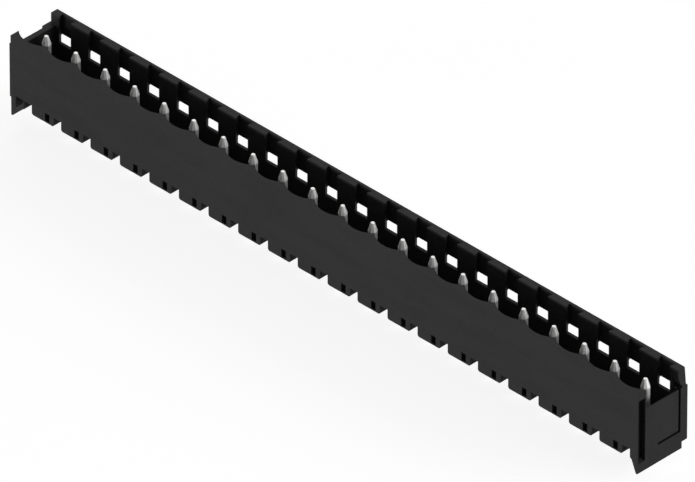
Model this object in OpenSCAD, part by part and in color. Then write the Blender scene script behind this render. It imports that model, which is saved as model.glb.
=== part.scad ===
// Shrouded pin header for a circuit board: one moulded trough that carries a row of solder pins.
// X runs along the row with 0 at its middle, Y = 0 is the row of pin axes with the front at -Y,
// and Z = 0 is the surface of the board. All sizes are millimetres.

/* [Row] */
// Number of poles
poles = 21; // [2:1:40]
// Distance between neighbouring pin axes
pitch = 5.08; // [4.8:0.02:7.62]
// Distance from an outermost pin axis to the end face beside it
end_margin = 2.4; // [2.2:0.05:4]

/* [Housing] */
// Height of the two long walls above the board
rim_z = 11.7; // [11:0.1:15]
// Distance from the pin axes to the front face
front_reach = 3.77; // [3.5:0.01:5]
// Distance from the pin axes to the outer face of the back wall
back_reach = 4.23; // [3.8:0.01:5]
// Height of the trough's floor above the board
floor_z = 4.3; // [3.8:0.1:5.5]
// Thickness of the floor
floor_t = 1.6; // [1.2:0.1:2.2]

/* [Front wall] */
// Thickness between two poles, where the scallops end
front_wall = 1.45; // [1.1:0.05:1.8]
// Thickness in front of a pin, at the bottom of a scallop
front_thin = 0.5; // [0.35:0.05:0.9]
// Flat left between two scallops
scallop_land = 0.2; // [0.1:0.05:0.6]
// Height of the wall's lower edge above the board
front_edge_z = 3.1; // [2.4:0.05:3.3]

/* [Back wall] */
// Thickness of the wall
back_wall = 1.1; // [0.9:0.05:1.3]
// Width of a coding channel at its mouth
channel_mouth = 2; // [1.4:0.05:2.6]
// Width of a coding channel at its base
channel_base = 2.44; // [2:0.02:3]
// Depth of a coding channel in the wall
channel_depth = 0.75; // [0.6:0.05:0.85]
// Height of a coding channel's lower end above the board
channel_z = 7.8; // [5:0.1:9]
// Width of a groove in the outer face
groove_w = 3.5; // [2.8:0.1:4.2]
// Depth of a groove in the outer face
groove_depth = 0.65; // [0.5:0.05:0.8]
// Height over which a channel and a groove meet in a window
window_h = 0.92; // [0.4:0.02:1.6]

/* [Underside] */
// How far the underside stands back from the front face
skirt_setback = 0.54; // [0.2:0.02:0.9]
// Clear height between the board and the tabs
standoff = 1.21; // [0.6:0.01:1.6]
// Width of the gap around a solder tail
tail_gap = 1.26; // [1.2:0.02:2]
// Rounding of the lower edges of a tab
tab_round = 0.3; // [0.1:0.05:0.5]
// Width of the slit in a tab, and of the one beside the left foot
slit_w = 0.76; // [0.4:0.02:1.2]
// Distance of the slit from the middle of its tab
slit_offset = 0.77; // [0:0.01:1]
// Depth of the slits behind the front of the tabs
slit_depth = 3; // [0.5:0.1:3.5]
// Web left under the slit of a tab
slit_web = 0.2; // [0.1:0.05:0.6]

/* [Ends] */
// Thickness of the left end wall
left_wall = 0.78; // [0.6:0.02:1.2]
// Height of the left end wall above the board
left_end_z = 10.12; // [7:0.02:11]
// Thickness of the right end wall
right_wall = 1.1; // [0.95:0.05:1.4]
// Height of the right end wall above the board
right_end_z = 8.86; // [7:0.02:10]
// Flat left on top of the right end wall beside its inner bevel
bevel_land = 0.16; // [0.1:0.02:0.6]
// Height of the right end wall's inner bevel
bevel_h = 1.6; // [0.8:0.1:2.4]
// Thickness of the left foot
foot_t = 0.78; // [0.6:0.02:1.2]
// Thickness of a foot where it stands on the board
foot_edge = 0.26; // [0.2:0.02:0.5]
// Height of the left foot's taper
foot_taper = 1.4; // [0.6:0.1:2]
// Height of the right foot's taper
right_taper = 2.05; // [1.4:0.05:2.4]
// How far a foot stops short of the back face
foot_short = 0.4; // [0:0.05:1]
// How far the corner post stands out behind the back wall
post_out = 0.52; // [0.2:0.02:0.9]
// How far the slope above the corner post stands out at its foot
post_slope = 0.25; // [0.05:0.05:0.45]
// Thickness of the corner post along the row
post_t = 1.2; // [1:0.05:1.6]
// Height of the corner post's lower end above the board
post_z = 0.96; // [0.4:0.02:1.6]
// Width of the relief groove in the right end face
relief_w = 0.37; // [0.2:0.01:0.6]
// Depth of the relief groove
relief_depth = 0.6; // [0.3:0.05:0.9]
// Length of the relief groove's lower run
relief_run = 3.85; // [2.5:0.05:4.2]
// Height of the relief groove's lower run above the board
relief_z = 2.5; // [1.8:0.05:4]
// Radius of the curve at the right end of the back wall
scoop_r = 3.7; // [3.2:0.1:5]
// Height of the middle of that curve above the board
scoop_z = 11.2; // [10.4:0.1:11.6]

/* [Keys between neighbours] */
// Skin left between the key slot and the front face
slot_lip = 0.15; // [0.1:0.05:0.4]
// Skin left between the key slot and the trough
slot_skin = 0.13; // [0.1:0.01:0.3]
// Depth of the key slot
slot_depth = 0.85; // [0.6:0.05:0.95]
// Height of the key slot's lower end above the board, at the end face
slot_z = 1.35; // [1.2:0.05:2]
// How far the key slot's lower end rises inwards
slot_ramp = 0.4; // [0.1:0.05:0.6]
// Height of the key slot's upper end above the board
slot_top = 10.55; // [9:0.05:11]
// Clearance of a key on each of its sides
key_fit = 0.13; // [0.05:0.01:0.2]
// Clearance above a key
key_head = 0.4; // [0.1:0.05:0.6]
// Clearance below a key
key_foot = 1; // [0.1:0.05:1.4]
// How far the key rib stands out
rib_out = 0.5; // [0.2:0.05:0.6]
// Width of the end pad
pad_w = 1.5; // [1:0.01:2.4]
// How far the end pad stands out
pad_out = 0.35; // [0.1:0.01:0.4]
// Height of the end pad's lower end above the board
pad_z = 2.3; // [2:0.1:6]

/* [Pins] */
// Width of a pin across its flats
pin_flat = 1.15; // [0.8:0.01:1.18]
// Width of the flat end of a tip
tip_flat = 0.48; // [0.3:0.02:0.7]
// Length of the tapered tip
tip_taper = 1.15; // [0.4:0.05:2]
// Height of a pin's tip above the board
tip_z = 10.92; // [8:0.02:12]
// Length of a solder tail below the board's surface
tail_len = 1.5; // [1:0.1:4]
// Chamfer at the end of a solder tail
tail_chamfer = 0.2; // [0.1:0.05:0.3]
// Clearance between a pin and its hole on each side
pin_fit = 0.01; // [0:0.005:0.03]

/* [Hidden] */
black_plastic = [0.2, 0.2, 0.2];
tinned_metal = [0.78, 0.78, 0.77];
// How far a cut runs past the face that it opens
over = 0.2;
pin_sides = 8;
$fn = 64;

half_len = (poles - 1) * pitch / 2 + end_margin;
front_y = -front_reach;
back_y = back_reach;
back_inner_y = back_y - back_wall;
groove_y = back_y - groove_depth;
skirt_y = front_y + skirt_setback;
floor_under = floor_z - floor_t;

scallop_half_w = (pitch - scallop_land) / 2;
scallop_depth = front_wall - front_thin;
scallop_r = (pow(scallop_half_w, 2) + pow(scallop_depth, 2)) / (2 * scallop_depth);
scallop_y = front_y + front_thin + scallop_r;

slot_w = front_wall - slot_lip - slot_skin;
slot_y = front_y + slot_lip + slot_w / 2;
rib_w = slot_w - 2 * key_fit;
left_slit_x = -half_len + foot_t + slit_w / 2;
pad_back_y = groove_y - key_fit;

function pole_x(index) = (index - (poles - 1) / 2) * pitch;
function pin_name(number) = str("contact_pin_", number < 10 ? "0" : "", number);

// A block between two opposite corners
module block(low, high) {
    translate(low)
        cube(high - low);
}

// A flat outline in X and Z, carried from one Y to another
module along_y(from_y, to_y) {
    translate([0, to_y, 0])
        rotate([90, 0, 0])
            linear_extrude(to_y - from_y)
                children();
}

// A flat outline in Y and Z, carried from one X to another
module along_x(from_x, to_x) {
    translate([from_x, 0, 0])
        rotate([90, 0, 90])
            linear_extrude(to_x - from_x)
                children();
}

// One copy at each pole
module at_poles() {
    for (index = [0 : poles - 1])
        translate([pole_x(index), 0, 0])
            children();
}

// One copy midway between neighbouring poles
module between_poles() {
    for (index = [0 : poles - 2])
        translate([pole_x(index) + pitch / 2, 0, 0])
            children();
}

// Section of a pin, with a flat side on each axis
module pin_section(across_flats) {
    half_turn = 180 / pin_sides;
    rotate(half_turn)
        circle(d = across_flats / cos(half_turn), $fn = pin_sides);
}

// Front wall, with a scallop in its inner face before each pin
module front_wall() {
    difference() {
        block([-half_len, front_y, front_edge_z], [half_len, front_y + front_wall, rim_z]);
        at_poles()
            translate([0, scallop_y, floor_z])
                cylinder(r = scallop_r, h = rim_z - floor_z + over, $fn = 128);
    }
}

// Dovetail outline of a coding channel, with its mouth on the inner face
module channel_outline() {
    polygon([
        [-channel_mouth / 2, -over],
        [channel_mouth / 2, -over],
        [channel_mouth / 2, 0],
        [channel_base / 2, channel_depth],
        [-channel_base / 2, channel_depth],
        [-channel_mouth / 2, 0]
    ]);
}

// Back wall: channels from above and grooves from below, which meet in a row of windows
module back_wall() {
    difference() {
        block([-half_len, back_inner_y, floor_under], [half_len, back_y, rim_z]);
        at_poles()
            translate([0, back_inner_y, channel_z])
                linear_extrude(rim_z - channel_z + over)
                    channel_outline();
    }
}

module back_grooves() {
    groove_top = channel_z + window_h;
    at_poles()
        block([-groove_w / 2, groove_y, standoff - over], [groove_w / 2, back_y + over, groove_top]);
}

// Outline of the gap around a solder tail, flared by the rounded edges of the tabs beside it
module tail_gap_outline() {
    translate([-tail_gap / 2, standoff - over])
        square([tail_gap, floor_under - standoff + over]);
    difference() {
        translate([-tail_gap / 2 - tab_round, standoff - over])
            square([tail_gap + 2 * tab_round, tab_round + over]);
        for (side = [-1, 1])
            translate([side * (tail_gap / 2 + tab_round), standoff + tab_round])
                circle(r = tab_round);
    }
}

module slit(low_z) {
    block([-slit_w / 2, skirt_y - over, low_z], [slit_w / 2, skirt_y + slit_depth, front_edge_z]);
}

// One slit in each tab, closed below by a web, and an open one between the left foot and the first pole
module slits() {
    between_poles()
        translate([slit_offset, 0, 0])
            slit(standoff + slit_web);
    translate([left_slit_x, 0, 0])
        slit(standoff - over);
}

// Floor, and under it the tabs that stand beside the solder tails
module base() {
    difference() {
        union() {
            block([-half_len, skirt_y, floor_under], [half_len, back_y, floor_z]);
            block([left_slit_x, skirt_y, standoff], [half_len, back_y, floor_z]);
        }
        at_poles()
            along_y(skirt_y - over, back_y + over)
                tail_gap_outline();
        slits();
    }
}

module pin_holes() {
    at_poles()
        translate([0, 0, floor_under - over])
            linear_extrude(floor_t + 2 * over)
                pin_section(pin_flat + 2 * pin_fit);
}

// Foot on the right: flush with the end face, and tapered from the inside to a thin edge
module foot(thickness, taper) {
    along_y(front_y, back_y - foot_short)
        polygon([
            [half_len, 0],
            [half_len, floor_z],
            [half_len - thickness, floor_z],
            [half_len - thickness, taper],
            [half_len - foot_edge, 0]
        ]);
}

// Right end wall, bevelled on the inside to lead a plug in
module right_end_wall() {
    along_y(front_y, back_y)
        polygon([
            [half_len, floor_under],
            [half_len, right_end_z],
            [half_len - bevel_land, right_end_z],
            [half_len - right_wall, right_end_z - bevel_h],
            [half_len - right_wall, floor_under]
        ]);
}

// Post at the back corner of the right end, with a slope from its top to the rim
module corner_post() {
    along_x(half_len - post_t, half_len)
        polygon([
            [groove_y, post_z],
            [back_y + post_out, post_z],
            [back_y + post_out, right_end_z],
            [back_y + post_slope, right_end_z],
            [back_y, rim_z],
            [groove_y, rim_z]
        ]);
}

// Full thickness of the front wall around the key slot, where the last scallop would open it
module slot_backing() {
    low = [half_len - slot_depth - slot_skin, front_y, front_edge_z];
    block(low, [half_len, front_y + front_wall, slot_top + slot_skin]);
}

module right_end() {
    right_end_wall();
    foot(right_wall, right_taper);
    corner_post();
    slot_backing();
}

// Outline in Y and Z of the groove that frees the end wall's panel along its back and lower edges
module relief_outline() {
    translate([groove_y - relief_run, relief_z])
        square([relief_run, relief_w]);
    translate([groove_y - relief_w, relief_z])
        square([relief_w, right_end_z - relief_z + over]);
}

// Outline in Y and Z of the curve that thins the back wall above the right end wall
module scoop_outline() {
    difference() {
        translate([back_inner_y - over, right_end_z])
            square([back_wall + over, scoop_z - right_end_z]);
        translate([back_inner_y + scoop_r, scoop_z])
            circle(r = scoop_r, $fn = 128);
    }
}

// Slot in the right end face for a neighbour's key rib
module key_slot() {
    along_y(slot_y - slot_w / 2, slot_y + slot_w / 2)
        polygon([
            [half_len, slot_z],
            [half_len + over, slot_z],
            [half_len + over, slot_top],
            [half_len - slot_depth, slot_top],
            [half_len - slot_depth, slot_z + slot_ramp]
        ]);
}

module key_rib() {
    low = [-half_len - rib_out, slot_y - rib_w / 2, slot_z + key_foot];
    block(low, [-half_len, slot_y + rib_w / 2, slot_top - key_head]);
}

module right_end_cuts() {
    key_slot();
    along_x(half_len - relief_depth, half_len + over)
        relief_outline();
    along_x(half_len - right_wall, half_len + over)
        scoop_outline();
}

// Left end, with the key rib and the pad that meet a neighbour's right end
module left_end() {
    block([-half_len, front_y, floor_under], [-half_len + left_wall, back_y, left_end_z]);
    mirror([1, 0, 0])
        foot(foot_t, foot_taper);
    key_rib();
    block([-half_len - pad_out, pad_back_y - pad_w, pad_z], [-half_len, pad_back_y, left_end_z]);
}

module housing() {
    color(black_plastic)
        difference() {
            union() {
                front_wall();
                back_wall();
                base();
                right_end();
                left_end();
            }
            back_grooves();
            pin_holes();
            right_end_cuts();
        }
}

// Outline in X and Z of what is cut off one side of a pin: the taper of its tip and the chamfer of its tail
module pin_side_cut() {
    half_w = pin_flat / 2;
    tip_half_w = tip_flat / 2;
    slope = (half_w - tip_half_w) / tip_taper;
    polygon([
        [half_w + slope * over, tip_z - tip_taper - over],
        [tip_half_w - slope * over, tip_z + over],
        [half_w + over, tip_z + over],
        [half_w + over, tip_z - tip_taper - over]
    ]);
    polygon([
        [half_w - tail_chamfer - over, -tail_len - over],
        [half_w + over, -tail_len - over],
        [half_w + over, -tail_len + tail_chamfer + over]
    ]);
}

// Eight-sided pin with a tapered tip and a chamfered tail
module contact_pin(index) {
    color(tinned_metal)
        translate([pole_x(index), 0, 0])
            difference() {
                translate([0, 0, -tail_len])
                    linear_extrude(tail_len + tip_z)
                        pin_section(pin_flat);
                for (side = [0 : pin_sides - 1])
                    rotate([0, 0, side * 360 / pin_sides])
                        along_y(-pin_flat, pin_flat)
                            pin_side_cut();
            }
}

housing();
for (number = [1 : poles])
    contact_pin(number - 1);
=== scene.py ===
"""Looks of the board-mounted pin header: finishes, rounded edges, and the floor, light and camera around it.

Lengths are metres, lamp powers watts and colours linear, unless a comment says otherwise.
"""
import math

import bpy
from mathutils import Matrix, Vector


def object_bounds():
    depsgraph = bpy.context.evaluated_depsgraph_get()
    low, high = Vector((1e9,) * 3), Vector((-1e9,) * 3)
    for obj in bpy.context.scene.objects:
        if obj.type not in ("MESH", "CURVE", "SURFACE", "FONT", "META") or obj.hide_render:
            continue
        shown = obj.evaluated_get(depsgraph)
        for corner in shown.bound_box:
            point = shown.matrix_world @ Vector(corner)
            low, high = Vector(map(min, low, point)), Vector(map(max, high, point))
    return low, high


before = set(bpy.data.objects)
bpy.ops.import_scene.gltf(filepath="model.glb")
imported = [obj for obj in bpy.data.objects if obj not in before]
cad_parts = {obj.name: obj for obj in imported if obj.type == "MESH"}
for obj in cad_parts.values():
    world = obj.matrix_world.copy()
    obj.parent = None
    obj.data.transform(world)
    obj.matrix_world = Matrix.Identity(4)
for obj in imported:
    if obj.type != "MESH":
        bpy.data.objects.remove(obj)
cad_low, cad_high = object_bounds()

MM = 0.001
HOUSING = "housing"
PINS = sorted(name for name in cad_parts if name.startswith("contact_pin"))

# Camera: a long lens stands in for the photograph's parallel projection
PHOTO_W = 695
PIXELS_PER_MM = 8.312
AZIMUTH = math.radians(44.86)
ELEVATION = math.radians(35.15)
AIM = Vector((0.814, 0.0, 6.08)) * MM
LENS_MM = 1150.0
SENSOR_MM = 36.0
CLIP_START = 0.1
CLIP_END_FACTOR = 3.0

# Edges
WELD_GAP = 0.0005 * MM
HOUSING_ROUND = 0.06 * MM
PIN_ROUND = 0.03 * MM
ROUND_SEGMENTS = 2
SHARP_ANGLE = math.radians(32.0)
FLAT_ANGLE = math.radians(0.5)

# Noises: Scale counts features along a millimetre
NOISE_ROUGHNESS = 0.55
GRAIN = {"Scale": 11.0, "Detail": 4.0, "Roughness": 0.6}
PITS = {"Scale": 3.2, "Detail": 2.0, "Roughness": NOISE_ROUGHNESS}
CLOUDS = {"Scale": 0.35, "Detail": 3.0, "Roughness": NOISE_ROUGHNESS}
# Where the painted glints fall in the plastic's base colour
PAINTED_GLINT_NOISE = {"Scale": 12.0, "Detail": 2.0, "Roughness": NOISE_ROUGHNESS}
STREAKS = {"Scale": 8.0, "Detail": 3.0, "Roughness": NOISE_ROUGHNESS}
MOTTLE = {"Scale": 2.2, "Detail": 3.0, "Roughness": NOISE_ROUGHNESS}

# Directions of a finish: a factor under 1 draws its features out along that axis
EVEN = (1.0, 1.0, 1.0)
ALONG_ROW = (0.25, 1.0, 1.0)
ALONG_PIN = (1.0, 1.0, 0.06)

# Black plastic
PLASTIC_DARK = (0.0185, 0.0185, 0.0188, 1.0)
PLASTIC_PALE = (0.0236, 0.0236, 0.0236, 1.0)
CLOUD_SPAN = (0.35, 0.65)
# Painted glints: lighter flecks added to the base colour stand in for glints of light
NO_PAINTED_GLINT = (0.0, 0.0, 0.0, 1.0)
PAINTED_GLINT = (0.017, 0.017, 0.017, 1.0)
PAINTED_GLINT_SPAN = (0.60, 0.78)
PLASTIC_ROUGHNESS = (0.48, 0.68)
PLASTIC_SPECULAR = 0.12
GRAIN_BUMP = {"Strength": 0.8, "Distance": 0.014 * MM}
PIT_BUMP = {"Strength": 0.5, "Distance": 0.03 * MM}

# Tinned metal
TIN_DARK = (0.66, 0.66, 0.65, 1.0)
TIN_PALE = (0.80, 0.80, 0.79, 1.0)
MOTTLE_SPAN = (0.3, 0.7)
TIN_ROUGHNESS = (0.50, 0.64)
TIN_METALLIC = 0.85
STREAK_BUMP = {"Strength": 0.2, "Distance": 0.01 * MM}

# Floor and world: both show white to the camera and in reflections, and give little light of their own
WHITE = (1.0, 1.0, 1.0, 1.0)
FLOOR_SIZE = 6.0
FLOOR_COLOR = (0.45, 0.45, 0.45, 1.0)
FLOOR_ROUGHNESS = 0.9
FLOOR_LIFT = 0.86
WORLD_FILL = 0.056
WORLD_SEEN = 1.0

# Lamps around the aim: azimuth from the front towards +X and elevation, both in degrees
LAMPS = {
    "overhead": {"azimuth": 0.0, "elevation": 89.9, "distance": 1.0, "sides": (0.5, 0.5), "power": 0.42},
    "right": {"azimuth": 118.0, "elevation": 18.0, "distance": 1.0, "sides": (0.7, 0.5), "power": 4.7},
    "front": {"azimuth": -12.0, "elevation": 2.5, "distance": 1.0, "sides": (1.0, 0.06), "power": 5.9},
    "back_left": {"azimuth": 225.0, "elevation": 30.0, "distance": 1.2, "sides": (0.8, 0.6), "power": 1.8},
}

# Sockets of a Mix node that mixes colours, which share their names with its other sockets
MIX_FACTOR = 0
MIX_A = 6
MIX_B = 7
MIX_RESULT = 2


def direction(azimuth, elevation):
    """Unit vector from the object towards a place at that azimuth and elevation."""
    flat = math.cos(elevation)
    return Vector((math.sin(azimuth) * flat, -math.cos(azimuth) * flat, math.sin(elevation)))


def look_at(obj, target):
    obj.rotation_mode = "QUATERNION"
    obj.rotation_quaternion = (target - obj.location).to_track_quat("-Z", "Y")


def add_object(name, data):
    obj = bpy.data.objects.new(name, data)
    bpy.context.scene.collection.objects.link(obj)
    return obj


# Node trees

def new_material(name):
    material = bpy.data.materials.new(name)
    material.use_nodes = True
    tree = material.node_tree
    return material, tree, tree.nodes["Principled BSDF"]


def add_node(tree, kind, **values):
    """A new node: each value goes to the node's setting of that name, or else to its socket."""
    node = tree.nodes.new(kind)
    for key, value in values.items():
        if hasattr(node, key):
            setattr(node, key, value)
        else:
            node.inputs[key].default_value = value
    return node


def millimetres(tree, stretch=EVEN):
    """Object coordinates in millimetres, drawn out along an axis where the finish has a direction."""
    place = add_node(tree, "ShaderNodeTexCoord")
    scale = add_node(tree, "ShaderNodeMapping")
    scale.inputs["Scale"].default_value = [factor / MM for factor in stretch]
    tree.links.new(place.outputs["Object"], scale.inputs["Vector"])
    return scale.outputs["Vector"]


def noise(tree, vector, settings):
    node = add_node(tree, "ShaderNodeTexNoise", **settings)
    tree.links.new(vector, node.inputs["Vector"])
    return node.outputs["Fac"]


def ramp(tree, factor, span, low_color, high_color):
    """One colour below the span, another above it, and a blend of both within it."""
    node = add_node(tree, "ShaderNodeValToRGB")
    stops = node.color_ramp.elements
    for stop, position, color in zip(stops, span, (low_color, high_color)):
        stop.position = position
        stop.color = color
    tree.links.new(factor, node.inputs["Fac"])
    return node.outputs["Color"]


def remap(tree, factor, span):
    """A factor from 0 to 1, carried over to the span."""
    node = add_node(tree, "ShaderNodeMapRange")
    node.inputs["To Min"].default_value, node.inputs["To Max"].default_value = span
    tree.links.new(factor, node.inputs["Value"])
    return node.outputs["Result"]


def bump(tree, height, settings, normal=None):
    node = add_node(tree, "ShaderNodeBump", **settings)
    tree.links.new(height, node.inputs["Height"])
    if normal is not None:
        tree.links.new(normal, node.inputs["Normal"])
    return node.outputs["Normal"]


def add_colors(tree, first, second):
    node = add_node(tree, "ShaderNodeMix", data_type="RGBA", blend_type="ADD")
    node.inputs[MIX_FACTOR].default_value = 1.0
    tree.links.new(first, node.inputs[MIX_A])
    tree.links.new(second, node.inputs[MIX_B])
    return node.outputs[MIX_RESULT]


def seen(tree):
    """1 for what the camera sees directly, in a reflection or through a surface, and 0 for other light."""
    ray = add_node(tree, "ShaderNodeLightPath").outputs
    factor = ray["Is Camera Ray"]
    for kind in ("Is Glossy Ray", "Is Transmission Ray"):
        node = add_node(tree, "ShaderNodeMath", operation="MAXIMUM")
        tree.links.new(factor, node.inputs[0])
        tree.links.new(ray[kind], node.inputs[1])
        factor = node.outputs[0]
    return factor


# Finishes

def black_plastic():
    """Moulded black plastic: fine spark-eroded texture, clouds, and faint flecks of painted glint drawn out
    along the row in the base colour.
    """
    material, tree, shader = new_material("black_plastic")
    even = millimetres(tree)
    flow = millimetres(tree, ALONG_ROW)
    grain = noise(tree, even, GRAIN)
    pits = noise(tree, even, PITS)
    body = ramp(tree, noise(tree, flow, CLOUDS), CLOUD_SPAN, PLASTIC_DARK, PLASTIC_PALE)
    # Painted glints: lighter flecks added to the base colour stand in for glints of light
    painted_glints = ramp(tree, noise(tree, flow, PAINTED_GLINT_NOISE), PAINTED_GLINT_SPAN, NO_PAINTED_GLINT, PAINTED_GLINT)
    tree.links.new(add_colors(tree, body, painted_glints), shader.inputs["Base Color"])
    tree.links.new(remap(tree, grain, PLASTIC_ROUGHNESS), shader.inputs["Roughness"])
    shader.inputs["Specular IOR Level"].default_value = PLASTIC_SPECULAR
    fine = bump(tree, grain, GRAIN_BUMP)
    tree.links.new(bump(tree, pits, PIT_BUMP, fine), shader.inputs["Normal"])
    return material


def tinned_metal():
    """Tin plating over drawn wire: light grey, satin, with faint streaks along the pin."""
    material, tree, shader = new_material("tinned_metal")
    streaks = noise(tree, millimetres(tree, ALONG_PIN), STREAKS)
    mottle = noise(tree, millimetres(tree), MOTTLE)
    tree.links.new(ramp(tree, mottle, MOTTLE_SPAN, TIN_DARK, TIN_PALE), shader.inputs["Base Color"])
    tree.links.new(remap(tree, streaks, TIN_ROUGHNESS), shader.inputs["Roughness"])
    shader.inputs["Metallic"].default_value = TIN_METALLIC
    tree.links.new(bump(tree, streaks, STREAK_BUMP), shader.inputs["Normal"])
    return material


def pale_floor():
    """Pale matte floor that shows white where no shadow falls."""
    material, tree, shader = new_material("pale_floor")
    shader.inputs["Base Color"].default_value = FLOOR_COLOR
    shader.inputs["Roughness"].default_value = FLOOR_ROUGHNESS
    shader.inputs["Specular IOR Level"].default_value = 0.0
    shader.inputs["Emission Color"].default_value = WHITE
    tree.links.new(remap(tree, seen(tree), (0.0, FLOOR_LIFT)), shader.inputs["Emission Strength"])
    return material


# The object's own pieces

def dress(obj, material, radius):
    """A CAD piece keeps its mesh, and gets its finish and lightly rounded edges."""
    obj.data.materials.clear()
    obj.data.materials.append(material)
    weld = obj.modifiers.new("weld", "WELD")
    weld.merge_threshold = WELD_GAP
    flat = obj.modifiers.new("flat_faces", "DECIMATE")
    flat.decimate_type = "DISSOLVE"
    flat.angle_limit = FLAT_ANGLE
    edge = obj.modifiers.new("rounded_edges", "BEVEL")
    edge.width = radius
    edge.segments = ROUND_SEGMENTS
    edge.limit_method = "ANGLE"
    edge.angle_limit = SHARP_ANGLE
    edge.harden_normals = True


def dress_pieces():
    plastic = black_plastic()
    tin = tinned_metal()
    dress(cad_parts[HOUSING], plastic, HOUSING_ROUND)
    for pin in PINS:
        dress(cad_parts[pin], tin, PIN_ROUND)


# Floor, light and camera

def add_floor():
    bpy.ops.mesh.primitive_plane_add(size=FLOOR_SIZE, location=(0.0, 0.0, cad_low.z))
    floor = bpy.context.object
    floor.name = "floor"
    floor.data.materials.append(pale_floor())


def add_world():
    world = bpy.data.worlds.new("studio")
    bpy.context.scene.world = world
    world.use_nodes = True
    tree = world.node_tree
    background = tree.nodes["Background"]
    background.inputs["Color"].default_value = WHITE
    tree.links.new(remap(tree, seen(tree), (WORLD_FILL, WORLD_SEEN)), background.inputs["Strength"])


def add_lamp(name, azimuth, elevation, distance, sides, power):
    data = bpy.data.lights.new(name, "AREA")
    data.shape = "RECTANGLE"
    data.size, data.size_y = sides
    data.energy = power
    lamp = add_object(name, data)
    lamp.location = AIM + direction(math.radians(azimuth), math.radians(elevation)) * distance
    look_at(lamp, AIM)


def add_camera():
    frame_width = PHOTO_W / PIXELS_PER_MM * MM
    distance = frame_width * LENS_MM / SENSOR_MM
    data = bpy.data.cameras.new("camera")
    data.lens = LENS_MM
    data.sensor_width = SENSOR_MM
    data.sensor_fit = "HORIZONTAL"
    data.clip_start = CLIP_START
    data.clip_end = distance * CLIP_END_FACTOR
    camera = add_object("camera", data)
    camera.location = AIM + direction(AZIMUTH, ELEVATION) * distance
    look_at(camera, AIM)
    bpy.context.scene.camera = camera


dress_pieces()
add_floor()
add_world()
for lamp_name, lamp_values in LAMPS.items():
    add_lamp(lamp_name, **lamp_values)
add_camera()
bpy.context.scene.view_settings.view_transform = "Standard"
